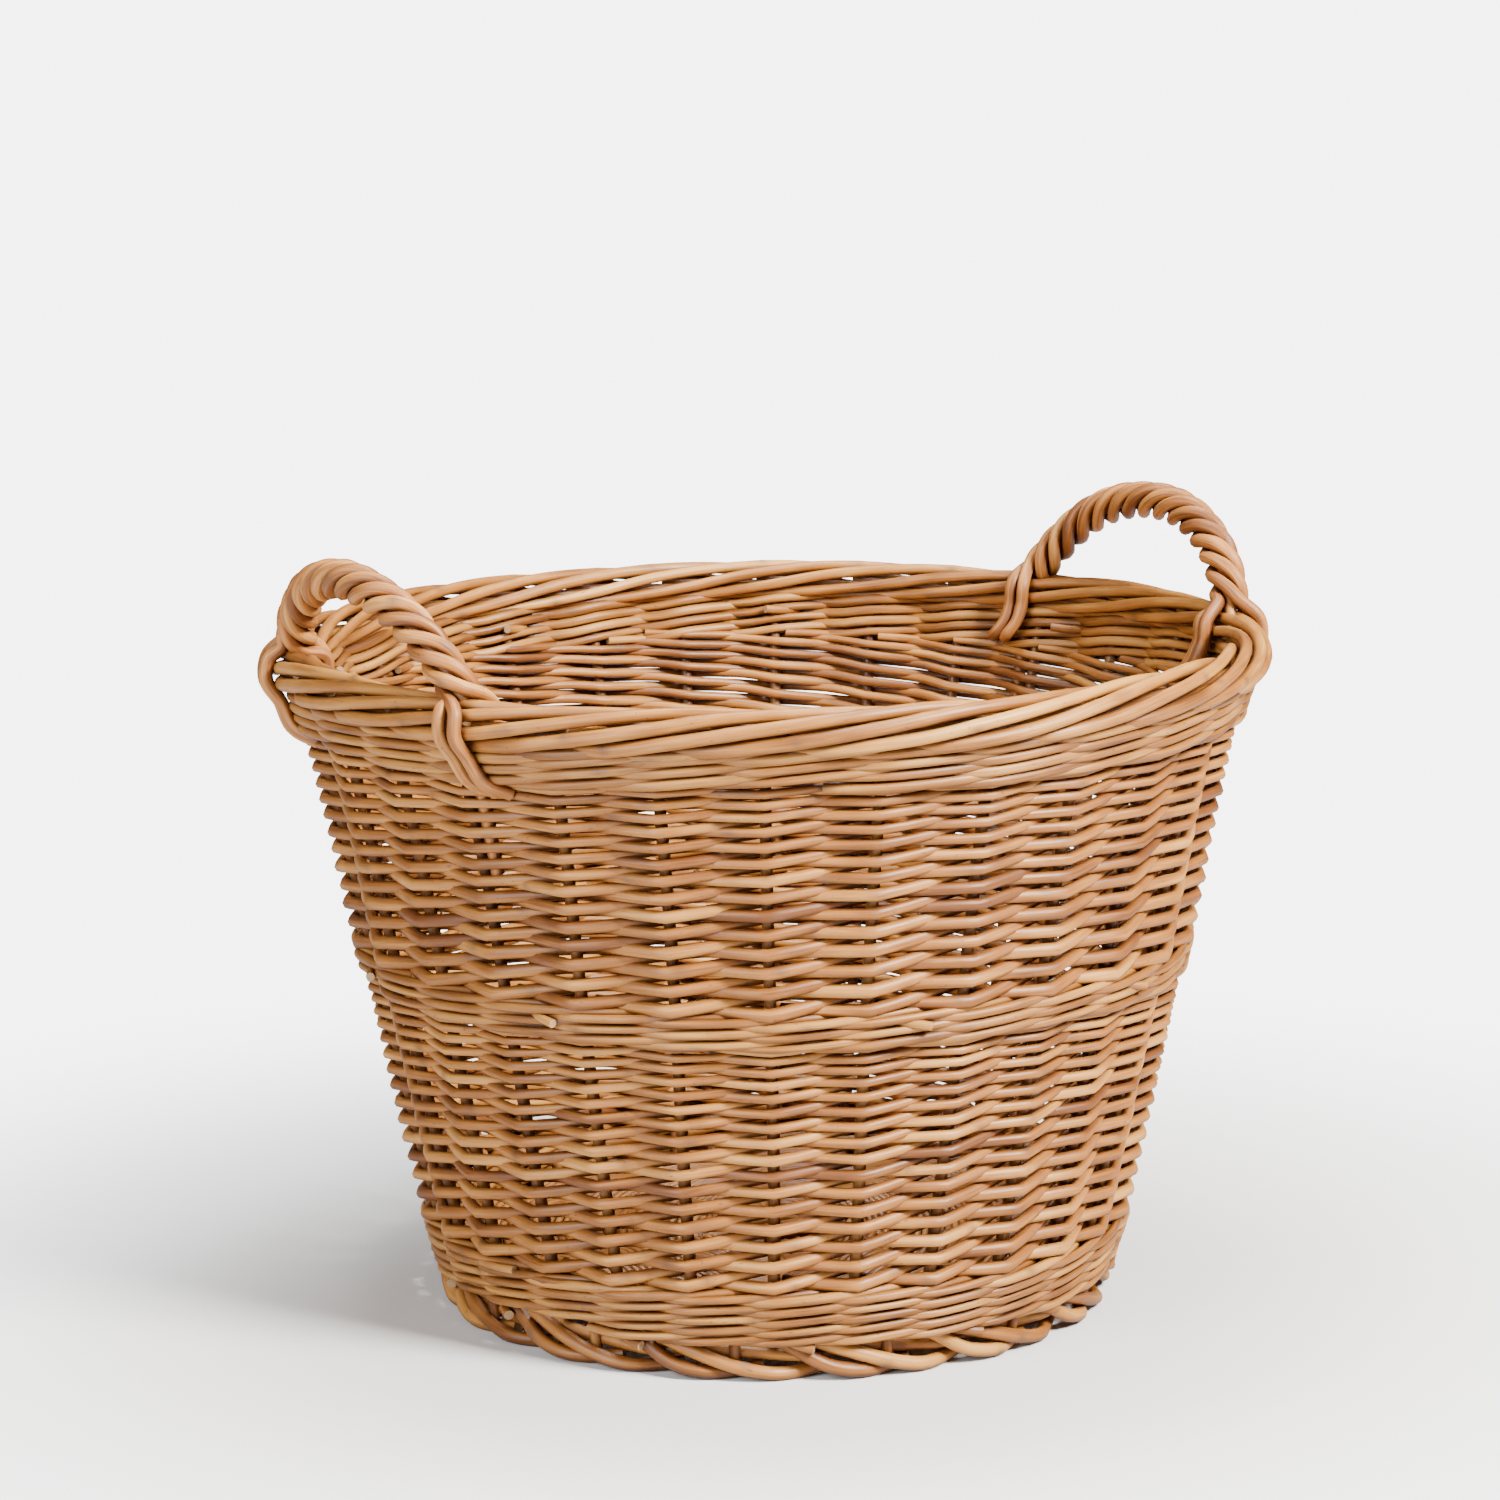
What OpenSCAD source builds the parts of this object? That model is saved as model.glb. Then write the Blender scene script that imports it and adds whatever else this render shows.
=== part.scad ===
// Round willow basket with a foot border, three wales, two randed sidings,
// a rolled border and two roped handles.
// Millimetres. +Z is up, the origin is the centre of the foot's resting face,
// and the handles stand over +X and -X.

/* [Basket] */
// Width across the outside of the rolled border
rim_width = 520; // [500:5:540]
// Width across the outside of the foot border
foot_width = 356; // [346:2:366]
// Height of the top of the rolled border
body_height = 355; // [352:1:358]
// Height of the foot border
foot_height = 20; // [18:1:21]

/* [Rods] */
// Diameter of a side stake
stake_d = 6.5; // [6:0.5:7]
// Diameter of a rod in the two sidings
siding_rod_d = 5.5; // [4:0.5:6]
// Diameter of a rod in the wales
wale_rod_d = 6; // [5:0.5:6.5]
// Diameter of a rod in the rolled border and the foot border
border_rod_d = 8.5; // [8:0.5:9]
// Diameter of a pierced base stick
pierced_stick_d = 12; // [11:0.5:13]
// Diameter of a through base stick
through_stick_d = 8; // [7:0.5:8]

/* [Woven bands] */
// Height of the top of the upsett wale
upsett_top = 48; // [46:1:50]
// Height of the top of the lower siding
lower_siding_top = 181; // [178:1:183]
// Height of the top of the middle wale
middle_wale_top = 196; // [193:1:199]
// Height of the top of the upper siding
upper_siding_top = 313; // [311:1:314]

/* [Handles] */
// Width of a handle between the middles of its two feet
handle_span = 180; // [179:1:186]
// Height of a handle's rope above the rim, along the slope of the wall
handle_rise = 55; // [50:1:60]
// Diameter of the core rod of a handle
bow_d = 8; // [7:0.5:8]
// Diameter of one roped strand
strand_d = 7; // [6:0.5:7.5]
// Length along the handle in which a strand goes once round the bow
rope_lead = 48; // [44:1:56]

/* [Hidden] */
$fn = 48;

stick_ends = 14;
stake_count = 2 * stick_ends;
pierced_count = 3;
through_count = 4;
strand_count = 4;

// The wall's middle line runs straight from the base edge to the middle of the border
base_z = 25;
border_ring_r = 10;
border_r = rim_width / 2 - border_ring_r - border_rod_d / 2;
border_z = body_height - border_ring_r - border_rod_d / 2;
base_r = foot_width / 2 - 5.5;
wall_slope = (border_r - base_r) / (border_z - base_z);

// A bend is a ball a little thicker than its rod
knuckle = 1;

// Extra width of a passage over the rod that stands in it
passage_gap = 0.2;

// Half of the thickness of a band: half a stake and one rod on each side
siding_half = stake_d / 2 + siding_rod_d;
wale_half = stake_d / 2 + wale_rod_d;

// Base
stick_end_r = base_r - 15;
base_weave_r = base_r - wale_half - 1.5;
base_half = pierced_stick_d / 2 + 4;
slath_inner_r = 35;
slath_outer_r = 45;
cross_half = 22;
pierced_pitch = pierced_stick_d + 0.5;
through_pitch = through_stick_d + 0.5;
butt_r = 100;

// Foot and rolled border
foot_outer_r = foot_width / 2;
foot_inner_r = foot_outer_r - 2.2 * border_rod_d;
peg_d = 6;
peg_top = 42;
peg_bottom = 12;
border_core_r = 7.8;

// Handles: the bow is an arc in a plane that leans out with the top of the wall
lean = atan(wall_slope) + 5;
handle_base_z = border_z + 9;
foot_angle = asin(handle_span / 2 / border_r);
bow_r = (pow(handle_span / 2, 2) + pow(handle_rise, 2)) / (2 * handle_rise);
bow_half_angle = asin(handle_span / 2 / bow_r);
bow_centre = handle_rise - bow_r;
leg_bottom_z = 250;
helix_r = (bow_d + strand_d) / 2 + 0.1;
tail_bottom_z = upper_siding_top - 4;
strand_sides = 8;
strand_steps = 40;

// ---------- shared geometry ----------

// Radius of the wall's middle line at a height
function wall_r(z) = base_r + wall_slope * (z - base_z);

// A point from its radius, its angle round the basket and its height
function polar(r, angle, z) = [r * cos(angle), r * sin(angle), z];

// A round rod from one point to another
module rod(from, to, d) {
    span = to - from;
    translate(from)
        rotate([0, acos(span[2] / norm(span)), atan2(span[1], span[0])])
            cylinder(d = d, h = norm(span));
}

// A square bar round the same line as a rod, to cut the rod's passage through a band
module passage(from, to, d) {
    span = to - from;
    width = d + passage_gap;
    translate(from)
        rotate([0, acos(span[2] / norm(span)), atan2(span[1], span[0])])
            translate([-width / 2, -width / 2, 0]) cube([width, width, norm(span)]);
}

// A round rod through a list of points, with a ball at each bend
module bent_rod(points, d) {
    for (i = [1:len(points) - 1]) rod(points[i - 1], points[i], d);
    for (i = [1:len(points) - 2]) translate(points[i]) sphere(d = d + knuckle);
}

// The closed cross-section of a woven band that follows the wall's middle line
module band_section(low, high, half) {
    polygon([
        [wall_r(low) - half, low],
        [wall_r(low) + half, low],
        [wall_r(high) + half, high],
        [wall_r(high) - half, high]
    ]);
}

// One rod of a wale as a round on the inner (-1) or outer (1) face
module wale_round(z, side, pitch) {
    translate([wall_r(z) + side * (wale_half - 0.53 * pitch), z]) circle(d = 1.06 * pitch);
}

// Rods that show as rounds on both faces of a wale
module wale_section(low, high, rounds) {
    pitch = (high - low) / rounds;
    band_section(low, high, wale_half - 0.53 * pitch);
    for (i = [0:rounds - 1], side = [-1, 1]) wale_round(low + (i + 0.5) * pitch, side, pitch);
}

// ---------- base ----------

// Direction in which a stick end points
function end_angle(k) = k * 360 / stick_ends;

module pierced_stick(i) {
    offset_y = (i - (pierced_count + 1) / 2) * pierced_pitch;
    turn = end_angle(i - (pierced_count + 1) / 2);
    tip = polar(stick_end_r, turn, base_z);
    slot = through_count * through_pitch + 1;
    color("#b98a58") difference() {
        bent_rod([
            [-tip[0], tip[1], base_z],
            [-cross_half, offset_y, base_z],
            [cross_half, offset_y, base_z],
            tip
        ], pierced_stick_d);
        translate([0, offset_y, base_z])
            cube([slot, 2 * pierced_stick_d, through_stick_d + 0.4], center = true);
    }
}

// The sticks on the -X side are mirror images of those on the +X side
module through_stick(i) {
    twin = max(i, through_count + 1 - i);
    offset_x = (twin - (through_count + 1) / 2) * through_pitch;
    tip = polar(stick_end_r, 90 - end_angle(twin - (through_count + 1) / 2), base_z);
    color("#c0925f") mirror([i < twin ? 1 : 0, 0, 0]) bent_rod([
        [tip[0], -tip[1], base_z],
        [offset_x, -cross_half, base_z],
        [offset_x, cross_half, base_z],
        tip
    ], through_stick_d);
}

// Where the straight ends of the sticks run out through the base weave
module stick_channels() {
    for (i = [1:pierced_count], side = [-1, 1]) {
        offset_y = (i - (pierced_count + 1) / 2) * pierced_pitch;
        tip = polar(stick_end_r, end_angle(i - (pierced_count + 1) / 2), base_z);
        rod([side * cross_half, offset_y, base_z], [side * tip[0], tip[1], base_z], pierced_stick_d);
    }
    for (i = [1:through_count], side = [-1, 1]) {
        offset_x = (i - (through_count + 1) / 2) * through_pitch;
        tip = polar(stick_end_r, 90 - end_angle(i - (through_count + 1) / 2), base_z);
        rod([offset_x, side * cross_half, base_z], [tip[0], side * tip[1], base_z], through_stick_d);
    }
}

module base_weave() {
    color("#cfa06a") difference() {
        rotate_extrude()
            translate([slath_outer_r, base_z - base_half])
                square([base_weave_r - slath_outer_r, 2 * base_half]);
        stick_channels();
        butt_channels();
    }
}

module slath_binding() {
    color("#d8ad78") difference() {
        rotate_extrude()
            translate([slath_inner_r, base_z - base_half])
                square([slath_outer_r - slath_inner_r, 2 * base_half]);
        stick_channels();
    }
}

// ---------- side stakes ----------

function stake_angle(i) = (i - 0.5) * 360 / stake_count;

// The stake's bend at the base edge, and its end in the border
function stake_foot(i) = polar(base_r, stake_angle(i), base_z);
function stake_head(i) = polar(border_r, stake_angle(i), border_z);

// Inner end of the butt: beside the stick that the stake belongs to
function butt_point(i) =
    let (side = i % 2 == 0 ? -1 : 1)
    let (stick = stake_angle(i) - side * 180 / stake_count)
    let (beside = (pierced_stick_d + stake_d) / 2 + 1)
    polar(butt_r, stick, base_z) + side * beside * [-sin(stick), cos(stick), 0];

module side_stake(i) {
    color("#a87b4c") bent_rod([butt_point(i), stake_foot(i), stake_head(i)], stake_d);
}

// Where the butts of the stakes lie in the base
module butt_channels() {
    for (i = [1:stake_count]) rod(butt_point(i), stake_foot(i), stake_d);
}

// Where the stakes pass up through the bands
module stake_channels() {
    for (i = [1:stake_count]) passage(stake_foot(i), stake_head(i), stake_d);
}

// ---------- woven bands of the wall ----------

// The first rounds of the upsett pass outside the stakes only, beside the base
module upsett_section() {
    rounds = 5;
    outside_rounds = 2;
    pitch = (upsett_top - foot_height) / rounds;
    step_z = foot_height + outside_rounds * pitch;
    edge = wale_half - 0.53 * pitch;
    clear = (stake_d + knuckle) / 2 + 0.2;
    polygon([
        [wall_r(foot_height) + clear, foot_height],
        [wall_r(foot_height) + edge, foot_height],
        [wall_r(upsett_top) + edge, upsett_top],
        [wall_r(upsett_top) - edge, upsett_top],
        [wall_r(step_z) - edge, step_z],
        [wall_r(step_z) + clear, step_z]
    ]);
    for (i = [0:rounds - 1]) wale_round(foot_height + (i + 0.5) * pitch, 1, pitch);
    for (i = [outside_rounds:rounds - 1]) wale_round(foot_height + (i + 0.5) * pitch, -1, pitch);
}

module upsett_wale() {
    color("#cf9f66") difference() {
        rotate_extrude() upsett_section();
        stake_channels();
        peg_channels();
    }
}

module lower_siding() {
    color("#d9ad77") difference() {
        rotate_extrude() band_section(upsett_top, lower_siding_top, siding_half);
        stake_channels();
    }
}

module middle_wale() {
    color("#cf9f66") difference() {
        rotate_extrude() wale_section(lower_siding_top, middle_wale_top, 3);
        stake_channels();
    }
}

module upper_siding() {
    color("#dcb27e") difference() {
        rotate_extrude() band_section(middle_wale_top, upper_siding_top, siding_half);
        stake_channels();
        bow_legs();
    }
}

module top_wale() {
    color("#cf9f66") difference() {
        rotate_extrude() wale_section(upper_siding_top, top_wale_z(), 4);
        stake_channels();
        bow_legs();
    }
}

// The border stands on the top wale
function top_wale_z() = border_z - border_core_r - 0.1;

// Five rods laid round a hollow core, as one closed ring
module rolled_border() {
    color("#d6a871") difference() {
        rotate_extrude() {
            for (k = [0:4])
                translate([border_r, border_z] + border_ring_r * [cos(k * 45), sin(k * 45)])
                    circle(d = border_rod_d);
            translate([border_r, border_z]) circle(r = border_core_r);
        }
        stake_channels();
        bow_legs();
    }
}

// ---------- foot ----------

// Short uprights that hold the foot border under the upsett wale
function peg_end(k, z) = polar(wall_r(z), end_angle(k), z);

module foot_pegs() {
    color("#b5814e") for (k = [0:stick_ends - 1])
        rod(peg_end(k, peg_bottom), peg_end(k, peg_top), peg_d);
}

// Where the uprights stand in the foot border and in the wale
module peg_channels() {
    for (k = [0:stick_ends - 1]) passage(peg_end(k, peg_bottom), peg_end(k, peg_top), peg_d);
}

module foot_border() {
    color("#c99a63") difference() {
        rotate_extrude()
            polygon([
                [foot_inner_r + 3, 0],
                [foot_outer_r - 3, 0],
                [foot_outer_r, 4],
                [foot_outer_r, foot_height - 3],
                [foot_outer_r - 2, foot_height],
                [foot_inner_r + 2, foot_height],
                [foot_inner_r, foot_height - 3],
                [foot_inner_r, 4]
            ]);
        peg_channels();
    }
}

// ---------- handles ----------

// A point in the handle's leaning plane, for the handle over +X
function on_plane(y, up) =
    [border_r * cos(foot_angle) + up * sin(lean), y, handle_base_z + up * cos(lean)];

// The leg of a bow, from its foot down into the upper siding
function leg_points(side) =
    [
        on_plane(side * handle_span / 2, 0),
        polar(wall_r(leg_bottom_z), side * foot_angle, leg_bottom_z)
    ];

module one_bow() {
    translate(on_plane(0, bow_centre))
        rotate([0, lean, 0])
            rotate([90, 0, 90])
                rotate_extrude(angle = 2 * bow_half_angle, start = 90 - bow_half_angle)
                    translate([bow_r, 0])
                        circle(d = bow_d);
    for (side = [-1, 1]) {
        rod(leg_points(side)[0], leg_points(side)[1], bow_d);
        translate(leg_points(side)[0]) sphere(d = bow_d + knuckle);
    }
}

module bow_legs() {
    for (turn = [0, 180], side = [-1, 1])
        rotate([0, 0, turn]) passage(leg_points(side)[0], leg_points(side)[1], bow_d);
}

module left_handle_bow() {
    color("#a8794a") rotate([0, 0, 180]) one_bow();
}

module right_handle_bow() {
    color("#a8794a") one_bow();
}

// Directions in the handle's plane and across it
OUTWARD = [cos(lean), 0, -sin(lean)];
UPWARD = [sin(lean), 0, cos(lean)];
SIDEWAYS = [0, 1, 0];

// Middle of the rope and its outward direction in the plane, at an angle along the bow
function bow_point(a) = on_plane(bow_r * sin(a), bow_centre + bow_r * cos(a));
function bow_normal(a) = sin(a) * SIDEWAYS + cos(a) * UPWARD;

// The roped part of a strand: a helix round the bow. Strands 1 and 2 end outside the
// rim at both feet, strands 3 and 4 end inside it.
rope_length = bow_r * 2 * bow_half_angle * PI / 180;
rope_turns = round(rope_length / rope_lead);
function strand_phase(n) = [-35, 35, 145, 215][n - 1];
function roped_point(n, s) =
    let (a = bow_half_angle * (2 * s - 1))
    let (turn = strand_phase(n) + 360 * rope_turns * s)
    bow_point(a) + helix_r * (cos(turn) * OUTWARD + sin(turn) * bow_normal(a));

// The tail of a strand: over the border and down the face of the top wale
clear_of_wall = wale_half + strand_d / 2 + 0.3;
clear_of_border = border_ring_r + border_rod_d / 2 + strand_d / 2 + 0.3;
function tail_side(n) = n < 3 ? 1 : -1;
function tail_shift(n) = (n == 1 || n == 4 ? -1 : 1) * (strand_d + 0.4) / 2;
function tail_points(n, end) =
    let (side = tail_side(n))
    let (angle = end * foot_angle + tail_shift(n) / border_r * 180 / PI)
    [
        polar(border_r + side * clear_of_border, angle, border_z + 2),
        polar(wall_r(border_z - 14) + side * clear_of_wall + side * 2, angle, border_z - 14),
        polar(wall_r(tail_bottom_z) + side * clear_of_wall, angle, tail_bottom_z)
    ];

// The whole path of a strand from one tail over the bow to the other tail
function strand_path(n) = concat(
    [for (p = [2:-1:0]) tail_points(n, -1)[p]],
    [for (k = [0:strand_steps]) roped_point(n, k / strand_steps)],
    tail_points(n, 1)
);

// A unit vector
function unit(v) = v / norm(v);

// A ring of points round the path, square to its direction
function ring(path, i) =
    let (last = len(path) - 1)
    let (along = unit(path[min(i + 1, last)] - path[max(i - 1, 0)]))
    let (across = unit(cross(along, cross(OUTWARD + 0.3 * SIDEWAYS, along))))
    let (up = cross(along, across))
    [for (k = [0:strand_sides - 1])
        let (a = k * 360 / strand_sides)
        path[i] + strand_d / 2 * (cos(a) * across + sin(a) * up)];

// A closed tube that sweeps a ring along the path
module tube(path) {
    rings = len(path);
    points = [for (i = [0:rings - 1]) each ring(path, i)];
    sides = [for (i = [0:rings - 2], k = [0:strand_sides - 1])
        let (a = i * strand_sides + k)
        let (b = i * strand_sides + (k + 1) % strand_sides)
        each [[a, b, b + strand_sides], [a, b + strand_sides, a + strand_sides]]];
    first = [for (k = [strand_sides - 1:-1:0]) k];
    last = [for (k = [0:strand_sides - 1]) (rings - 1) * strand_sides + k];
    polyhedron(points, concat(sides, [first, last]));
}

module left_handle_strand(n) {
    color("#b07f4e") rotate([0, 0, 180]) tube(strand_path(n));
}

module right_handle_strand(n) {
    color("#b07f4e") tube(strand_path(n));
}

// ---------- the nodes ----------

base_weave();
slath_binding();
for (i = [1:pierced_count])
    pierced_stick(i);
for (i = [1:through_count])
    through_stick(i);
for (i = [1:stake_count])
    side_stake(i);
foot_border();
foot_pegs();
upsett_wale();
lower_siding();
middle_wale();
upper_siding();
top_wale();
rolled_border();
left_handle_bow();
right_handle_bow();
for (i = [1:strand_count])
    left_handle_strand(i);
for (i = [1:strand_count])
    right_handle_strand(i);
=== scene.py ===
import math

import bpy
import numpy as np
from mathutils import Matrix, Vector


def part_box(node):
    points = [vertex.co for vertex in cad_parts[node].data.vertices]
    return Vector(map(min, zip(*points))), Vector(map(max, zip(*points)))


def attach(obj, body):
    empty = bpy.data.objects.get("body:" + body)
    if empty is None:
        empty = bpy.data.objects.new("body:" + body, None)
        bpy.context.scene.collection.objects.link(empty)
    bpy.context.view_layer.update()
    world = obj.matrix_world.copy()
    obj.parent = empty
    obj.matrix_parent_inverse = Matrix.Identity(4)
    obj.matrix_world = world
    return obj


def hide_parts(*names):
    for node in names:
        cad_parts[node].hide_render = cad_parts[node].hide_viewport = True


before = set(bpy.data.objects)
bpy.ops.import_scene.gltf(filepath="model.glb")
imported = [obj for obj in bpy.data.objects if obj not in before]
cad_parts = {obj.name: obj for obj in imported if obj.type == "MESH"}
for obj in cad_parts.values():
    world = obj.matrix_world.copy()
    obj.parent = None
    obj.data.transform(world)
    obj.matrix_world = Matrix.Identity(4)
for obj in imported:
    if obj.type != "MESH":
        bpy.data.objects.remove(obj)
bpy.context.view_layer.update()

# Lengths are worked out in millimetres and scaled when a mesh is made.
MM = 0.001
TAU = 2 * math.pi
random = np.random.default_rng(20)


# ---------- sizes from the CAD ----------


def node_box(name):
    low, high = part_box(name)
    return np.array(low) / MM, np.array(high) / MM


def heights(name):
    low, high = node_box(name)
    return low[2], high[2]


STAKES = 28
STICKS = 14
SPACING = TAU / STAKES
STAKE_D = 6.5
BASE_Z = 25.0
UPSETT = heights("upsett_wale")
LOWER = heights("lower_siding")
MIDDLE = heights("middle_wale")
UPPER = heights("upper_siding")
TOP = heights("top_wale")
BORDER = heights("rolled_border")
RIM_R = node_box("rolled_border")[1][0]
FOOT_R = node_box("foot_border")[1][0]
BORDER_RING = 9.4
BORDER_D = 7.4
BORDER_R = RIM_R - BORDER_RING - BORDER_D / 2 - 0.8
BORDER_Z = BORDER[1] - BORDER_RING - BORDER_D / 2 - 0.8

# The straight wall of the CAD: its middle line at the base edge and at the middle of the border
BASE_R = 172.5
RIM_WALL_R = 245.75
RIM_WALL_Z = 340.75

# The wall's middle line with the slight bows of a real one: heights and the radius at each
WALL_Z = [0, 25, 48, 100, 150, 188, 230, 266, 297, 313, 326, 341, 360]
WALL_R = [168, 172.6, 179, 191, 201.7, 209.8, 218, 225.4, 232.8, 236.8, 240.4, 244.6, 250]


def wall_r(z):
    """Radius of the wall's middle line at a height, with the corners of the table rounded off."""
    table_z = np.linspace(-20, 380, 801)
    table_r = np.interp(table_z, WALL_Z, WALL_R)
    kernel = np.hanning(41)
    smooth = np.convolve(np.pad(table_r, 20, mode="edge"), kernel / kernel.sum(), mode="valid")
    return np.interp(z, table_z, smooth)


# ---------- handmade unevenness, the same for every piece ----------

RIM_Z = 341


def handmade(points):
    """Leans, swells and dips of the whole basket, so that neighbouring rods stay together."""
    x, y, z = points[..., 0], points[..., 1], points[..., 2]
    angle = np.arctan2(y, x)
    lift = np.clip(z / RIM_Z, 0, 1.2)
    r = np.hypot(x, y)
    near_wall = np.clip((r - 120) / 60, 0, 1)
    swell = 1.3 * np.cos(2 * angle + 0.7) + 0.9 * np.cos(3 * angle - 1.1) + 0.5 * np.cos(7 * angle)
    ripple = 0.5 * np.sin(5 * angle + z / 37) + 0.4 * np.sin(11 * angle - z / 29)
    twist = 0.006 * np.sin(4 * angle + 1.0) * lift + 0.0045 * np.sin(9 * angle + z / 60)
    dip = 1.8 * np.cos(angle - math.pi - 0.3) + 1.0 * np.cos(2 * angle - 0.4)
    wave = 0.55 * np.sin(6 * angle + z / 40) + 0.22 * np.sin(13 * angle - z / 25 + 2)
    band = np.clip(z / 40, 0, 1) * near_wall
    r2 = r + near_wall * lift * (swell + ripple)
    angle2 = angle + twist * near_wall
    z2 = z - lift**2 * dip * near_wall + wave * band * 0.8
    return np.stack([r2 * np.cos(angle2), r2 * np.sin(angle2), z2], axis=-1)


# ---------- rods ----------


def unit(v):
    return v / np.maximum(np.linalg.norm(v, axis=-1, keepdims=True), 1e-9)


def polar(r, angle, z):
    r, angle, z = np.broadcast_arrays(np.asarray(r, float), angle, z)
    return np.stack([r * np.cos(angle), r * np.sin(angle), z], axis=-1)


def spline(knots, samples):
    """Smooth path through a few points: knots (..., k, 3) to (..., samples, 3)."""
    knots = np.asarray(knots, float)
    count = knots.shape[-2]
    step = np.linalg.norm(np.diff(knots, axis=-2), axis=-1).reshape(-1, count - 1).mean(0)
    at = np.concatenate([[0], np.cumsum(step)])
    where = np.linspace(0, at[-1], samples)
    i = np.clip(np.searchsorted(at, where, side="right") - 1, 0, count - 2)
    h = (at[i + 1] - at[i])[:, None]
    t = (where - at[i])[:, None] / h
    slope = np.gradient(knots, at, axis=-2)
    p0, p1 = knots[..., i, :], knots[..., i + 1, :]
    m0, m1 = slope[..., i, :] * h, slope[..., i + 1, :] * h
    t2, t3 = t * t, t * t * t
    return (2 * t3 - 3 * t2 + 1) * p0 + (t3 - 2 * t2 + t) * m0 + (3 * t2 - 2 * t3) * p1 + (t3 - t2) * m1


KNOT_GAP = 62.0
KNOT_REACH = 3.2
KNOT_SWELL = 0.07


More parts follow.
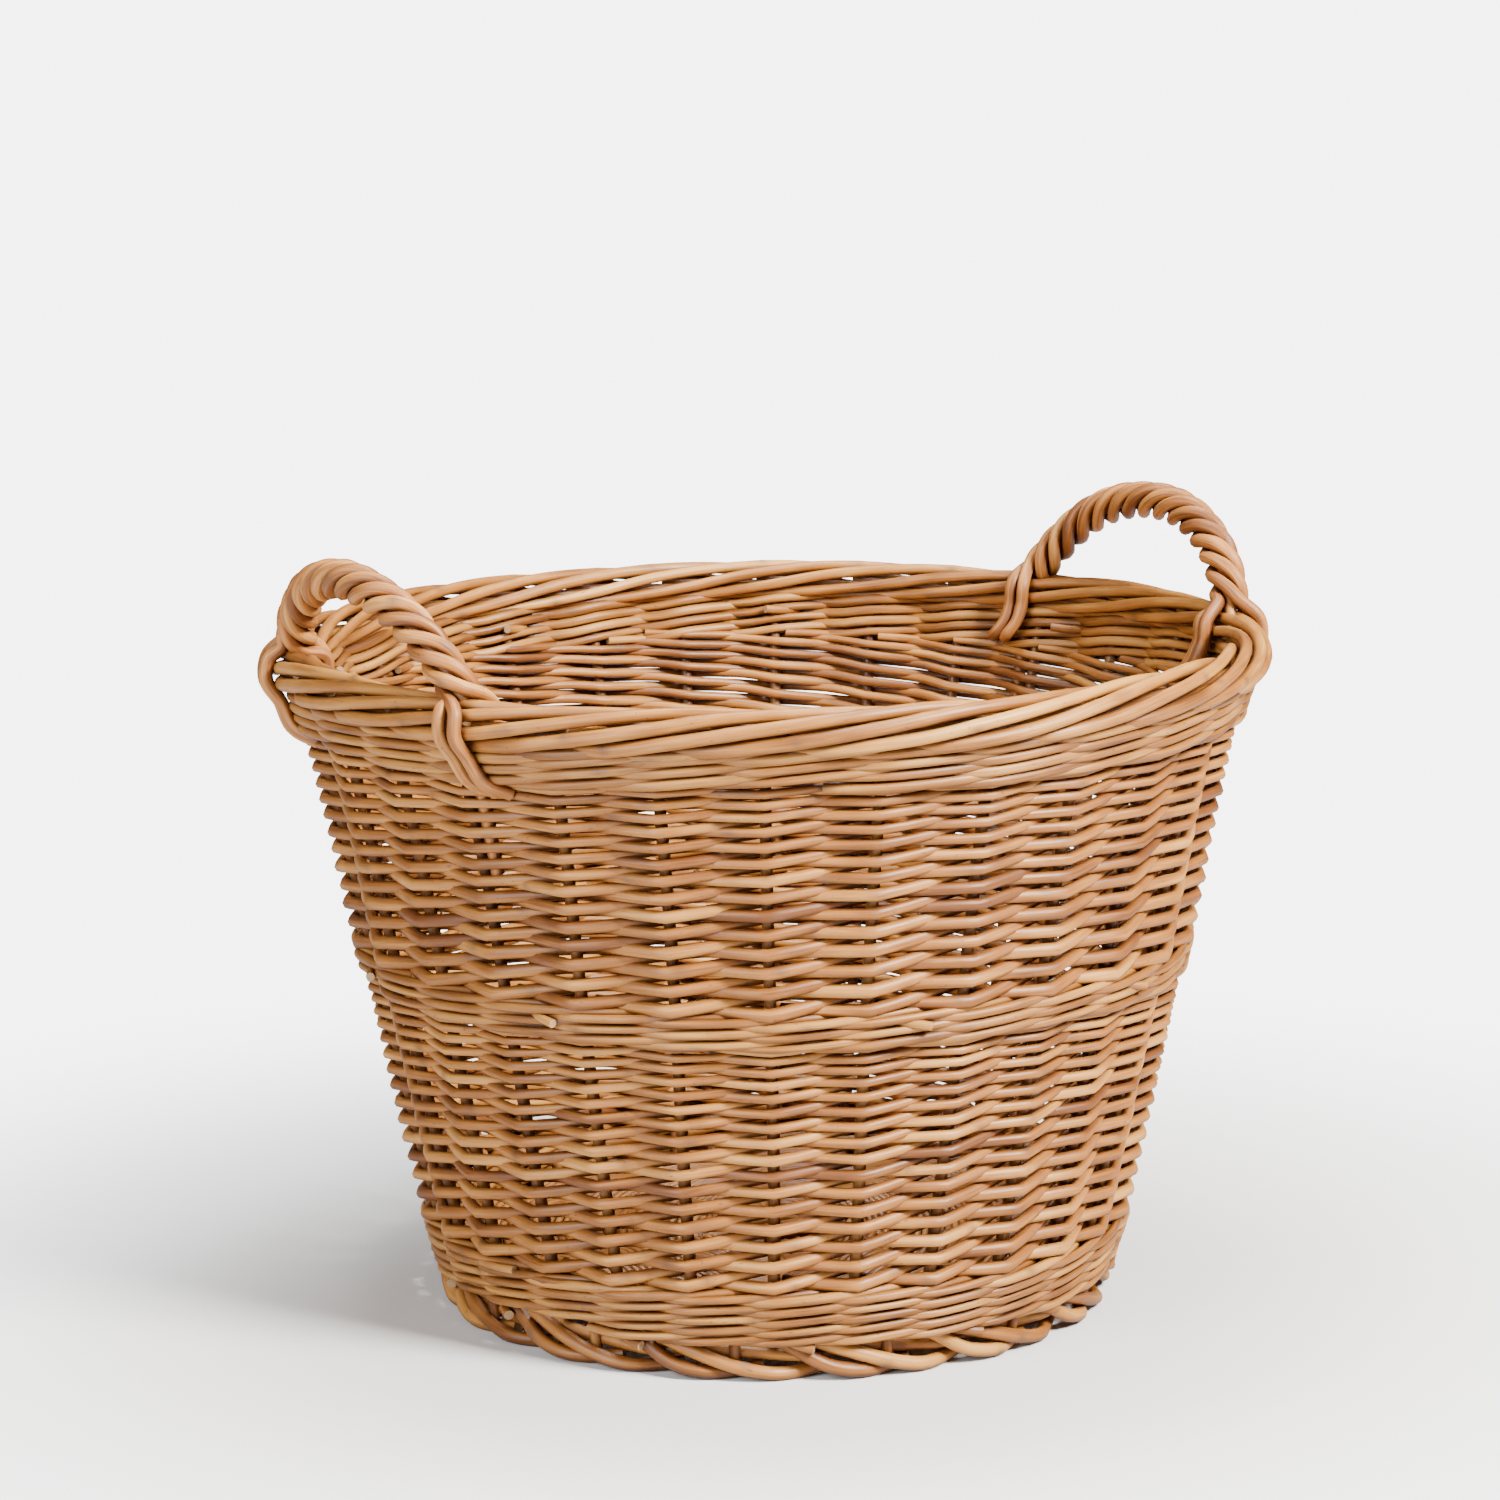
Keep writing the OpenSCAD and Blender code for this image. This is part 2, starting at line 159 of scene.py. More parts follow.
class Rods:
    """Collects willow rods as swept tubes with shading attributes, and makes one mesh."""

    def __init__(self):
        self.points, self.grain, self.tone, self.cut, self.knot = [], [], [], [], []
        self.quads, self.caps, self.count = [], [], 0

    def add(self, paths, radius, sides=9, shade=0.0, knots=1.0, shaped=True):
        """Add a rod, or several of the same number of points; shade is the mean of their tones."""
        paths = np.asarray(paths, float)
        if paths.ndim == 2:
            paths = paths[None]
        if shaped:
            paths = handmade(paths)
        rods, steps, _ = paths.shape
        radius = np.broadcast_to(np.asarray(radius, float), (rods, steps)).copy()
        step = np.linalg.norm(np.diff(paths, axis=1), axis=2)
        length = np.concatenate([np.zeros((rods, 1)), np.cumsum(step, axis=1)], axis=1)
        phase = random.uniform(0, TAU, (rods, 4, 1))
        bumps = sum(np.sin(length / wave + phase[:, i]) for i, wave in enumerate((11, 23, 57)))
        radius *= 1 + 0.009 * bumps
        shift = random.uniform(0, KNOT_GAP, (rods, 1))
        beat = (length + shift) / KNOT_GAP
        nearest = np.round(beat + 0.28 * np.sin(np.round(beat) * 12.9 + phase[:, 3]))
        to_knot = (beat - nearest) * KNOT_GAP
        knot = np.exp(-((to_knot / KNOT_REACH) ** 2)) * knots
        radius *= 1 + KNOT_SWELL * knot

        # Frames that turn with the rod and do not twist round it
        along = unit(np.gradient(paths, axis=1))
        start = np.where(np.abs(along[:, 0, 2:3]) < 0.9, [[0.0, 0.0, 1.0]], [[1.0, 0.0, 0.0]])
        normal = np.zeros_like(paths)
        n = unit(start - along[:, 0] * (start * along[:, 0]).sum(-1, keepdims=True))
        for i in range(steps):
            n = unit(n - along[:, i] * (n * along[:, i]).sum(-1, keepdims=True))
            normal[:, i] = n
        side = np.cross(along, normal)

        turn = np.linspace(0, TAU, sides, endpoint=False)
        c, s = np.cos(turn), np.sin(turn)
        r = radius[:, :, None, None]
        ring = paths[:, :, None] + r * (c[:, None] * normal[:, :, None] + s[:, None] * side[:, :, None])
        offset = random.uniform(-900, 900, (rods, 1, 1, 3))
        far = np.broadcast_to(length[:, :, None], ring.shape[:3])
        local = np.stack([radius[:, :, None] * c, radius[:, :, None] * s, far], axis=-1)
        facing = turn[None, None] - phase[:, 3][..., None] - np.round(beat)[..., None] * 2.4
        mark = knot[:, :, None] * np.clip(np.cos(facing), 0, 1) ** 2

        # The two ends get rings of their own, so that the cut faces are shaded apart.
        ends = [0, steps - 1]
        ring = np.concatenate([ring, ring[:, ends]], axis=1)
        grain = np.concatenate([local, local[:, ends]], axis=1) + offset
        tone = np.broadcast_to(random.normal(shade, 1.0, (rods, 1, 1)), ring.shape[:3])
        cut = np.zeros(ring.shape[:3])
        cut[:, steps:] = 1
        mark = np.concatenate([mark, np.zeros_like(mark[:, ends])], axis=1)

        first = self.count + np.arange(rods)[:, None, None] * (steps + 2) * sides
        i = np.arange(steps - 1)[None, :, None] * sides
        k = np.arange(sides)[None, None]
        k2 = (k + 1) % sides
        here, after = first + i, first + i + sides
        quads = np.stack([here + k, here + k2, after + k2, after + k], axis=-1)
        base = (first + steps * sides)[:, 0]
        cap = np.stack([base + np.arange(sides)[::-1], base + sides + np.arange(sides)], axis=1)
        self.points.append(ring.reshape(-1, 3))
        self.grain.append(grain.reshape(-1, 3))
        self.tone.append(tone.reshape(-1))
        self.cut.append(cut.reshape(-1))
        self.knot.append(mark.reshape(-1))
        self.quads.append(quads.reshape(-1, 4))
        self.caps.append(cap.reshape(-1, sides))
        self.count += ring.shape[0] * ring.shape[1] * sides

    def build(self, name, nodes, material, slot):
        """Make one mesh object of the rods so far, and hide the CAD nodes it stands for."""
        points = np.concatenate(self.points) * MM
        quads = np.concatenate(self.quads)
        loops = [quads.reshape(-1)]
        sizes = [np.full(len(quads), 4)]
        for cap in self.caps:
            loops.append(cap.reshape(-1))
            sizes.append(np.full(len(cap), cap.shape[1]))
        loops, sizes = np.concatenate(loops), np.concatenate(sizes)
        mesh = bpy.data.meshes.new(name)
        mesh.vertices.add(len(points))
        mesh.vertices.foreach_set("co", points.astype(np.float32).ravel())
        mesh.loops.add(len(loops))
        mesh.loops.foreach_set("vertex_index", loops.astype(np.int32))
        mesh.polygons.add(len(sizes))
        starts = np.concatenate([[0], np.cumsum(sizes)[:-1]])
        mesh.polygons.foreach_set("loop_start", starts.astype(np.int32))
        mesh.polygons.foreach_set("use_smooth", np.ones(len(sizes), bool))
        mesh.update(calc_edges=True)
        mesh.validate()
        for label, kind, data in (
            ("grain", "FLOAT_VECTOR", np.concatenate(self.grain) * MM),
            ("tone", "FLOAT", np.concatenate(self.tone)),
            ("cut", "FLOAT", np.concatenate(self.cut)),
            ("knot", "FLOAT", np.concatenate(self.knot)),
        ):
            layer = mesh.attributes.new(label, kind, "POINT")
            field = "vector" if kind == "FLOAT_VECTOR" else "value"
            layer.data.foreach_set(field, data.astype(np.float32).ravel())
        mesh.materials.append(material)
        piece = bpy.data.objects.new(name, mesh)
        bpy.context.collection.objects.link(piece)
        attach(piece, "root")
        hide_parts(*nodes)


# ---------- willow ----------

SPECK = (0.10, 0.045, 0.02)
KNOT = (0.14, 0.065, 0.03)
PITH_DARK, PITH_LIGHT = (0.36, 0.20, 0.09), (0.62, 0.42, 0.22)
# Painted shade in the crevices: how far it reaches and how dark it gets.
CREVICE_REACH = 0.011
CREVICE_DARKEST = 0.26
FIBRE_DEPTH = 0.0006


def willow(name, dark, mid, light, streak=1.0, rough=0.42):
    """Buff willow: a tone for each rod, long fibres, blotches, small dark specks and knots.

    The noises lie in the rod's own coordinates: across it, and along its length.
    """
    mat = bpy.data.materials.new(name)
    mat.use_nodes = True
    tree = mat.node_tree
    tree.nodes.clear()

    def node(kind, **values):
        made = tree.nodes.new(kind)
        for key, value in values.items():
            setattr(made, key, value)
        return made

    def link(a, b):
        tree.links.new(a, b)

    def attribute(label):
        return node("ShaderNodeAttribute", attribute_name=label)

    def noise(scale, stretch, detail=3.0, roughness=0.55):
        mapping = node("ShaderNodeMapping")
        mapping.inputs["Scale"].default_value = stretch
        link(attribute("grain").outputs["Vector"], mapping.inputs["Vector"])
        made = node("ShaderNodeTexNoise")
        made.inputs["Scale"].default_value = scale
        made.inputs["Detail"].default_value = detail
        made.inputs["Roughness"].default_value = roughness
        link(mapping.outputs["Vector"], made.inputs["Vector"])
        return made.outputs["Fac"]

    def maths(operation, a, b=None, clamp=False):
        made = node("ShaderNodeMath", operation=operation, use_clamp=clamp)
        for i, value in enumerate((a, b)):
            if value is None:
                continue
            if isinstance(value, (int, float)):
                made.inputs[i].default_value = value
            else:
                link(value, made.inputs[i])
        return made.outputs[0]

    def span(value, low, high, out_low=0.0, out_high=1.0):
        made = node("ShaderNodeMapRange")
        limits = {"From Min": low, "From Max": high, "To Min": out_low, "To Max": out_high}
        for key, number in limits.items():
            made.inputs[key].default_value = number
        link(value, made.inputs["Value"])
        return made.outputs["Result"]

    def mix(factor, a, b, blend="MIX"):
        made = node("ShaderNodeMix", data_type="RGBA", blend_type=blend)
        for socket, value in ((made.inputs[0], factor), (made.inputs[6], a), (made.inputs[7], b)):
            if isinstance(value, (int, float)):
                socket.default_value = value
            elif isinstance(value, tuple):
                socket.default_value = (*value, 1.0)
            else:
                link(value, socket)
        return made.outputs[2]

    out = node("ShaderNodeOutputMaterial")
    shader = node("ShaderNodeBsdfPrincipled")
    link(shader.outputs[0], out.inputs["Surface"])

    fibres = noise(1.0, (1500, 1500, 45), 4.0, 0.6)
    broad = noise(1.0, (260, 260, 16), 3.0)
    blotch = noise(1.0, (40, 40, 22), 2.0)
    speck = noise(1.0, (620, 620, 330), 1.0, 0.4)

    tone = attribute("tone").outputs["Fac"]
    level = maths("ADD", maths("MULTIPLY", tone, 0.19), 0.5)
    level = maths("ADD", level, span(broad, 0.3, 0.7, -0.26 * streak, 0.26 * streak))
    level = maths("ADD", level, span(blotch, 0.3, 0.7, -0.22, 0.22))
    level = maths("ADD", level, span(fibres, 0.3, 0.7, -0.15 * streak, 0.15 * streak))
    ramp = node("ShaderNodeValToRGB")
    ramp.color_ramp.elements[0].position = 0.0
    ramp.color_ramp.elements[0].color = (*dark, 1)
    ramp.color_ramp.elements[1].position = 1.0
    ramp.color_ramp.elements[1].color = (*light, 1)
    middle = ramp.color_ramp.elements.new(0.5)
    middle.color = (*mid, 1)
    link(level, ramp.inputs["Fac"])

    spots = span(speck, 0.72, 0.78)
    colour = mix(maths("MULTIPLY", spots, 0.65, True), ramp.outputs["Color"], SPECK)
    knot = maths("MULTIPLY", attribute("knot").outputs["Fac"], 0.8, True)
    colour = mix(knot, colour, KNOT)
    cut = attribute("cut").outputs["Fac"]
    pith = mix(span(fibres, 0.3, 0.7), PITH_DARK, PITH_LIGHT)
    colour = mix(cut, colour, pith)
    # Painted shade: the colour is darkened where rods press against each other, as shadow in the
    # crevices, most of all in the blue.
    crevice = node("ShaderNodeAmbientOcclusion", samples=4)
    crevice.inputs["Distance"].default_value = CREVICE_REACH
    openness = span(crevice.outputs["AO"], 0.12, 0.82, CREVICE_DARKEST, 1.0)
    crevice_shade = node("ShaderNodeCombineColor")
    for channel, power in (("Red", 0.85), ("Green", 1.05), ("Blue", 1.25)):
        link(maths("POWER", openness, power), crevice_shade.inputs[channel])
    colour = mix(1.0, colour, crevice_shade.outputs["Color"], "MULTIPLY")
    link(colour, shader.inputs["Base Color"])

    link(span(fibres, 0.25, 0.75, rough - 0.08, rough + 0.10), shader.inputs["Roughness"])
    shader.inputs["Specular IOR Level"].default_value = 0.5
    height = maths("ADD", maths("MULTIPLY", fibres, 0.6 * streak), maths("MULTIPLY", broad, 0.8))
    bump = node("ShaderNodeBump")
    bump.inputs["Strength"].default_value = 0.35
    bump.inputs["Distance"].default_value = FIBRE_DEPTH
    link(height, bump.inputs["Height"])
    link(bump.outputs["Normal"], shader.inputs["Normal"])
    return mat


# Each willow: its dark, middle and light tone
weave_look = willow("willow_siding", (0.172, 0.055, 0.011), (0.383, 0.148, 0.028), (0.615, 0.299, 0.073))
wale_look = willow("willow_wale", (0.145, 0.046, 0.008), (0.335, 0.130, 0.023), (0.555, 0.270, 0.062))
stake_look = willow("willow_stakes", (0.145, 0.050, 0.010), (0.285, 0.115, 0.024), (0.420, 0.204, 0.052))
border_look = willow("willow_border", (0.190, 0.064, 0.011), (0.405, 0.160, 0.028), (0.625, 0.306, 0.070))
base_look = willow("willow_base", (0.165, 0.054, 0.010), (0.345, 0.136, 0.026), (0.520, 0.255, 0.064))
stick_look = willow("willow_sticks", (0.165, 0.058, 0.012), (0.310, 0.126, 0.027), (0.440, 0.218, 0.060))
rope_look = willow(
    "willow_handle", (0.200, 0.066, 0.014), (0.465, 0.178, 0.037), (0.725, 0.355, 0.092),
    streak=1.6, rough=0.46,
)


# ---------- base ----------


def pairing(rods, first_r, last_r, rod_d, height):
    """Two rods that twist round each other over and under the base sticks, in a spiral."""
    per_stick = 8
    rounds = (last_r - first_r) / (rod_d * 0.98)
    s = np.arange(int(rounds * STICKS * per_stick)) / per_stick
    r = first_r + s / STICKS * rod_d * 0.98
    for twin in (0, 1):
        z = BASE_Z + (height / 2 + rod_d * 0.35) * np.cos(np.pi * s + np.pi * twin)
        wobble = 0.25 * np.sin(s * 2.1 + twin)
        rods.add(polar(r + wobble, s * TAU / STICKS, z), rod_d / 2, sides=8, knots=0.6)


PIERCED_D = 12.0
PIERCED_APART = 12.5
THROUGH_D = 8.0
THROUGH_APART = 8.5
BINDING_IN, BINDING_OUT = 35.0, 45.0

weave = Rods()
pairing(weave, BINDING_OUT + 2, node_box("base_weave")[1][0] - 2, 4.2, 9.0)
weave.build("base_weave", ["base_weave"], base_look, "willow_base")
binding = Rods()
pairing(binding, BINDING_IN + 1.5, BINDING_OUT - 0.5, 3.4, 11.0)
binding.build("slath_binding", ["slath_binding"], base_look, "willow_base")

for i in (1, 2, 3):
    high = node_box(f"pierced_stick_{i}")[1]
    offset = (i - 2) * PIERCED_APART
    turn = (i - 2) * TAU / STICKS
    reach = high[0] / math.cos(turn) - 1
    tip = np.array([reach * math.cos(turn), reach * math.sin(turn), BASE_Z])
    stick = Rods()
    for side in (-1, 1):
        end = tip * [side, 1, 1]
        straight = [[side * 17, offset, BASE_Z], [side * 24, offset, BASE_Z]]
        fanned = end * [0.6, 0.6, 0] + [0, offset * 0.2, BASE_Z]
        path = spline([*straight, fanned, end], 26)
        stick.add(path, PIERCED_D / 2 * np.linspace(1, 0.9, 26), sides=12, shaped=False)
    # Split in the middle, where the through sticks pass between the two halves
    for layer in (-1, 1):
        x = np.linspace(-21, 21, 15)
        lift = 3.0 + 2.9 * np.clip(1.25 - (x / 19) ** 4, 0, 1)
        path = np.stack([x, np.full(15, offset), BASE_Z + layer * lift], axis=-1)
        stick.add(path, 2.9, sides=10, shaped=False)
    stick.build(f"pierced_stick_{i}", [f"pierced_stick_{i}"], stick_look, "willow_sticks")

for i in (1, 2, 3, 4):
    high = node_box(f"through_stick_{i}")[1]
    offset = (i - 2.5) * THROUGH_APART
    turn = (i - 2.5) * TAU / STICKS
    reach = (high[1] - 1) / math.cos(turn)
    end_x, end_y = reach * math.sin(turn), reach * math.cos(turn)
    straight = [[offset, y, BASE_Z] for y in (-24, 0, 24)]
    path = spline([[end_x, -end_y, BASE_Z], *straight, [end_x, end_y, BASE_Z]], 44)
    stick = Rods()
    stick.add(path, THROUGH_D / 2 * np.linspace(1, 0.85, 44), sides=11, shaped=False)
    stick.build(f"through_stick_{i}", [f"through_stick_{i}"], stick_look, "willow_sticks")


# ---------- side stakes ----------


def stake_angle(j):
    """Angle of stake j, where j may lie between stakes."""
    return (np.asarray(j, float) + 0.5) * SPACING


for j in range(STAKES):
    name = f"side_stake_{j + 1}"
    side = -1 if j % 2 else 1
    stick = stake_angle(j) - side * SPACING / 2
    beside = side * 9.0
    butt = polar(112, stick, BASE_Z) + beside * np.array([-math.sin(stick), math.cos(stick), 0])
    knee = polar(wall_r(BASE_Z) - 3, stake_angle(j), BASE_Z + 0.5)
    turn_up = polar(wall_r(BASE_Z + 7), stake_angle(j), BASE_Z + 7)
    z = np.linspace(BASE_Z + 20, TOP[1] + 3, 40)
    wall = polar(wall_r(z), stake_angle(j), z)
    lead = spline([butt, (butt + knee) / 2, knee, turn_up, wall[0]], 24)
    path = np.concatenate([lead, wall[1:]])
    rod = Rods()
    rod.add(path, STAKE_D / 2 * np.linspace(1.02, 0.92, len(path)), sides=9, shade=-0.3)
    rod.build(name, [name], stake_look, "willow_stakes")


# ---------- randed sidings ----------


def climb(s):
    """Rows climbed: a kink in front of each even stake, then level up to the next one."""
    lap = np.floor(s / 2)
    return lap + np.interp(s - 2 * lap, [0, 1, 1.3, 1.5, 2], [0, 0.68, 0.94, 1.01, 1])


def zigzag(s):
    """1 in front of a stake, -1 behind the next, with nearly straight runs between."""
    straight = 1 - 2 * np.abs(np.mod(s + 1, 2) - 1)
    return 0.88 * straight + 0.12 * np.sin(np.pi / 2 * straight) + 0.03 * straight**3


def randing(name, low, high, rows, pitches, diameters, parts=4):
    """French randing: one rod started at every stake, each in front of one stake and behind the next.

    The rods thin from the first of the diameters to the last, and the rows close up as they do.
    """
    edges = np.interp(np.linspace(0, 1, rows), [0, 0.35, 0.7, 0.86, 1.0], pitches)
    heights_up = np.concatenate([[0], np.cumsum(edges)])
    first_d, last_d = diameters
    scale = (high - low - first_d * 0.5 - last_d * 0.5) / heights_up[-1]
    row_z = low + first_d * 0.55 + heights_up * scale
    per_spacing = 9
    groups = [Rods() for _ in range(parts)]
    for k in range(STAKES):
        end = 2 * rows - 1 + random.uniform(-0.25, 0.5)
        s = np.arange(int(round(-0.85 * per_spacing)), int(end * per_spacing) + 1) / per_spacing
        q = np.clip(climb(s), 0, rows)
        z = np.interp(q, np.arange(rows + 1), row_z)
        u = np.clip(s / end, 0, 1)
        d = (first_d + (last_d - first_d) * u**1.15) * random.uniform(0.95, 1.07)
        off = (STAKE_D + d) / 2 * zigzag(s)
        stake = k + s
        z = z + 0.05 * d * np.sin(stake * 1.9 + k * 2.2)
        path = polar(wall_r(z) + off, stake_angle(stake), z)
        groups[k % parts].add(path, d / 2, sides=8)
    for n, group in enumerate(groups):
        group.build(f"{name}_{n + 1}", [name], weave_look, "willow_siding")


randing("lower_siding", LOWER[0], LOWER[1] + 3.5, 16, [11.2, 9.6, 8.0, 6.3, 4.4], (6.6, 4.0))
randing("upper_siding", UPPER[0] - 1, UPPER[1] + 4.5, 14, [10.6, 9.3, 8.0, 6.4, 4.8], (6.9, 4.3))


# ---------- wales ----------


def stroke(phase, at, values):
    """Smooth periodic curve with period 3 through a few values."""
    table = np.linspace(0, 3, 121)[:-1]
    raw = np.interp(table, at, values, period=3)
    kernel = np.hanning(19)
    kernel /= kernel.sum()
    smooth = np.convolve(np.concatenate([raw[-9:], raw, raw[:9]]), kernel, mode="valid")
    return np.interp(np.mod(phase, 3), np.append(table, 3), np.append(smooth, smooth[0]))


def waling(name, low, high, rounds, rod_d, outside_only=0.0, first=0):
    """Three-rod wale: each rod passes in front of two stakes and behind the third."""
    wale = Rods()
    lift = rod_d * 0.86
    pitch = (high - low - rod_d - lift) / (rounds - 1)
    per_spacing = 8
    inner = -(STAKE_D + rod_d) / 2
    outer = (STAKE_D + rod_d) / 2
    for n in range(3):
        s = np.arange(int((rounds * STAKES - 0.8) * per_spacing)) / per_spacing
        lap = (s + n) / STAKES
        step_up = np.clip((lap - np.floor(lap)) * STAKES - STAKES + 3, 0, 3) / 3
        z = low + rod_d / 2 + pitch * np.minimum(np.floor(lap) + step_up, rounds - 1)
        z = z + lift * stroke(s, [0, 0.5, 1.0, 1.5, 2.0, 2.5, 2.8], [0, 0.1, 0.45, 0.85, 1.0, 0.85, 0.15])
        reach = [0.5 * outer, outer + 2.5, outer + 1.9, outer + 0.2, 0.35 * outer, inner, 0.5 * inner]
        off = stroke(s, [0, 0.45, 1.0, 1.5, 2.0, 2.5, 2.75], reach)
        start = np.clip((outside_only - z) / 6, 0, 1)
        off = off * (1 - start) + np.maximum(off, outer - 1.0) * start
        d = rod_d * (1 + 0.10 * np.sin(s / 8.3 + n * 2.1)) * (1 - 0.08 * np.sin(s / 29.0 + n))
        stake = first + s + n
        z = z + 0.2 * np.sin(stake * 1.3 + 2 * n)
        wale.add(polar(wall_r(z) + off, stake_angle(stake - 0.5), z), d / 2, sides=9)
    return wale


def cut_ends(rods, count, z, rod_d, out, slope=-0.25, length=17.0, inside=False, first=0.0):
    """Short cut ends of rods that stick out under or through a wale."""
    for k in range(count):
        j = first + (k + random.uniform(-0.2, 0.2)) * STAKES / count
        side = -1 if inside else 1
        a = stake_angle(j)
        reach = length * random.uniform(0.8, 1.2)
        height = z + random.uniform(-1.0, 1.0)
        r = wall_r(height)
        da = reach / r
        path = polar(
            [r - side * 1, r + side * out * 0.75, r + side * out],
            np.array([a - da, a - da * 0.35, a]),
            np.array([height - slope * reach * 0.8, height - slope * reach * 0.3, height]),
        )
        rods.add(spline(path, 9), rod_d / 2, sides=9, shade=0.4)


upsett = waling("upsett_wale", UPSETT[0] - 1.0, UPSETT[1] + 1.5, 5, 4.5, outside_only=33, first=16)
cut_ends(upsett, 14, 17.0, 5.3, 7.5, first=0.4, length=15)
upsett.build("upsett_wale", ["upsett_wale"], wale_look, "willow_wale")
middle = waling("middle_wale", MIDDLE[0] - 2.5, MIDDLE[1] + 2.0, 3, 4.6, first=13)
cut_ends(middle, 9, (MIDDLE[0] + MIDDLE[1]) / 2, 4.6, 11.5, slope=-0.2, length=20, first=0.7)
cut_ends(middle, 7, MIDDLE[0] + 5, 4.2, 10, slope=0.2, inside=True, first=0.2)
middle.build("middle_wale", ["middle_wale"], wale_look, "willow_wale")
top = waling("top_wale", TOP[0] - 3.0, TOP[1] + 3.5, 4, 5.2, first=19)
cut_ends(top, 8, TOP[1] - 6, 4.6, 11, slope=0.15, inside=True, first=0.3)
top.build("top_wale", ["top_wale"], wale_look, "willow_wale")


# ---------- borders ----------

BORDER_STEPS = 96

border = Rods()
for j in range(STAKES):
    around = np.radians(np.array([-58, -20, 18, 58, 100, 142, 186]))
    when = np.array([0.55, 1.25, 1.95, 2.7, 3.5, 4.3, 5.1]) + random.uniform(-0.06, 0.06, 7)
    ring = BORDER_RING + random.uniform(-0.35, 0.35, 7)
    r = BORDER_R + ring * np.cos(around)
    z = BORDER_Z + ring * np.sin(around)
    # Up out of the top wale, once round the core, and the tail into the core
    start_z = TOP[1] - 9
    core_r = [BORDER_R - 5.5, BORDER_R - 1, BORDER_R + 3]
    core_z = [BORDER_Z - 5.5, BORDER_Z - 3, BORDER_Z + 1.5]
    r = np.concatenate([[wall_r(start_z) + 1, wall_r(start_z + 6) + 3], r, core_r])
    z = np.concatenate([[start_z, start_z + 6.5], z, core_z])
    when = np.concatenate([[-0.02, 0.12], when, [5.9, 7.4, 9.2]])
    path = spline(polar(r, stake_angle(j + when), z), BORDER_STEPS)
    d = BORDER_D * random.uniform(0.92, 1.04) * np.linspace(1.0, 0.62, BORDER_STEPS)
    border.add(path, d / 2, sides=11)
border.build("rolled_border", ["rolled_border"], border_look, "willow_border")

FOOT_D = 7.8
floor_z = FOOT_D / 2 + 0.1
out_r = FOOT_R - FOOT_D / 2 - 0.2
foot = Rods()
for unit_no in range(STICKS):
    j = 2 * unit_no + 0.15
    short_s = np.array([-0.1, 0.1, 0.5, 0.95, 1.35, 1.7])
    short_r = np.array([wall_r(20), out_r - 2.5, out_r, out_r - 0.4, out_r - 6, out_r - 10])
    short_z = np.array([22, 17, 8.2, floor_z + 0.3, floor_z, floor_z + 2])
    long_s = np.array([0.3, 0.5, 0.95, 1.4, 1.85, 2.3, 2.6])
    long_r = np.array([
        wall_r(20), out_r - 2.5, out_r + 0.3, out_r + 0.2, out_r - 1.5, out_r - 8.5, out_r - 12,
    ])
    long_z = np.array([22, 18.5, 13.0, 7.4, floor_z, floor_z, floor_z + 2])
    for s, r, z in ((short_s, short_r, short_z), (long_s, long_r, long_z)):
        path = spline(polar(r, stake_angle(j + s), z), 34)
        d = FOOT_D * random.uniform(0.94, 1.03) * np.linspace(1.0, 0.88, 34)
        foot.add(path, d / 2, sides=12)
    back_s = np.array([0.3, 0.9, 1.6, 2.3, 3.0])
    back_r = np.array([out_r - 5, out_r - 6.5, out_r - 7.5, out_r - 7.5, out_r - 11])
    back_z = np.array([18, 15.5, 13, 11.5, 14])
    foot.add(spline(polar(back_r, stake_angle(j + back_s), back_z), 28), 3.2, sides=10)
foot.build("foot_border", ["foot_border"], border_look, "willow_border")

pegs = Rods()
for k in range(STICKS):
    z = np.linspace(9, 40, 12)
    pegs.add(polar(wall_r(z) - 0.5, k * TAU / STICKS, z), 2.9, sides=9, shade=-0.4)
pegs.build("foot_pegs", ["foot_pegs"], stake_look, "willow_stakes")


# ---------- handles ----------

LEAN = math.atan((RIM_WALL_R - BASE_R) / (RIM_WALL_Z - BASE_Z)) + math.radians(5)
HANDLE_SPAN = 180.0
HANDLE_RISE = 55.0
FOOT_ANGLE = math.asin(HANDLE_SPAN / 2 / RIM_WALL_R)
ARCH_R = ((HANDLE_SPAN / 2) ** 2 + HANDLE_RISE**2) / (2 * HANDLE_RISE)
ARCH_HALF = math.asin(HANDLE_SPAN / 2 / ARCH_R)
ROPE_LEAD = 54.0
STRAND_D = 7.6
CORE_D = 7.0
HELIX_R = 6.9
OUTWARD = np.array([math.cos(LEAN), 0, -math.sin(LEAN)])
UPWARD = np.array([math.sin(LEAN), 0, math.cos(LEAN)])
SIDEWAYS = np.array([0.0, 1.0, 0.0])
ARCH_FOOT = np.array([RIM_WALL_R * math.cos(FOOT_ANGLE), 0, BORDER_Z + 8.5])
STRAND_STEPS = 190


def arch(a):
    """Point on the handle's arch at an angle from its top, in the leaning plane of the handle."""
    a = np.asarray(a, float)[..., None]
    rise = HANDLE_RISE - ARCH_R + ARCH_R * np.cos(a)
    return ARCH_FOOT + ARCH_R * np.sin(a) * SIDEWAYS + rise * UPWARD


def turned(path, half_turn):
    """The same path on the other side of the basket."""
    return path * np.array([-1, -1, 1]) if half_turn else path


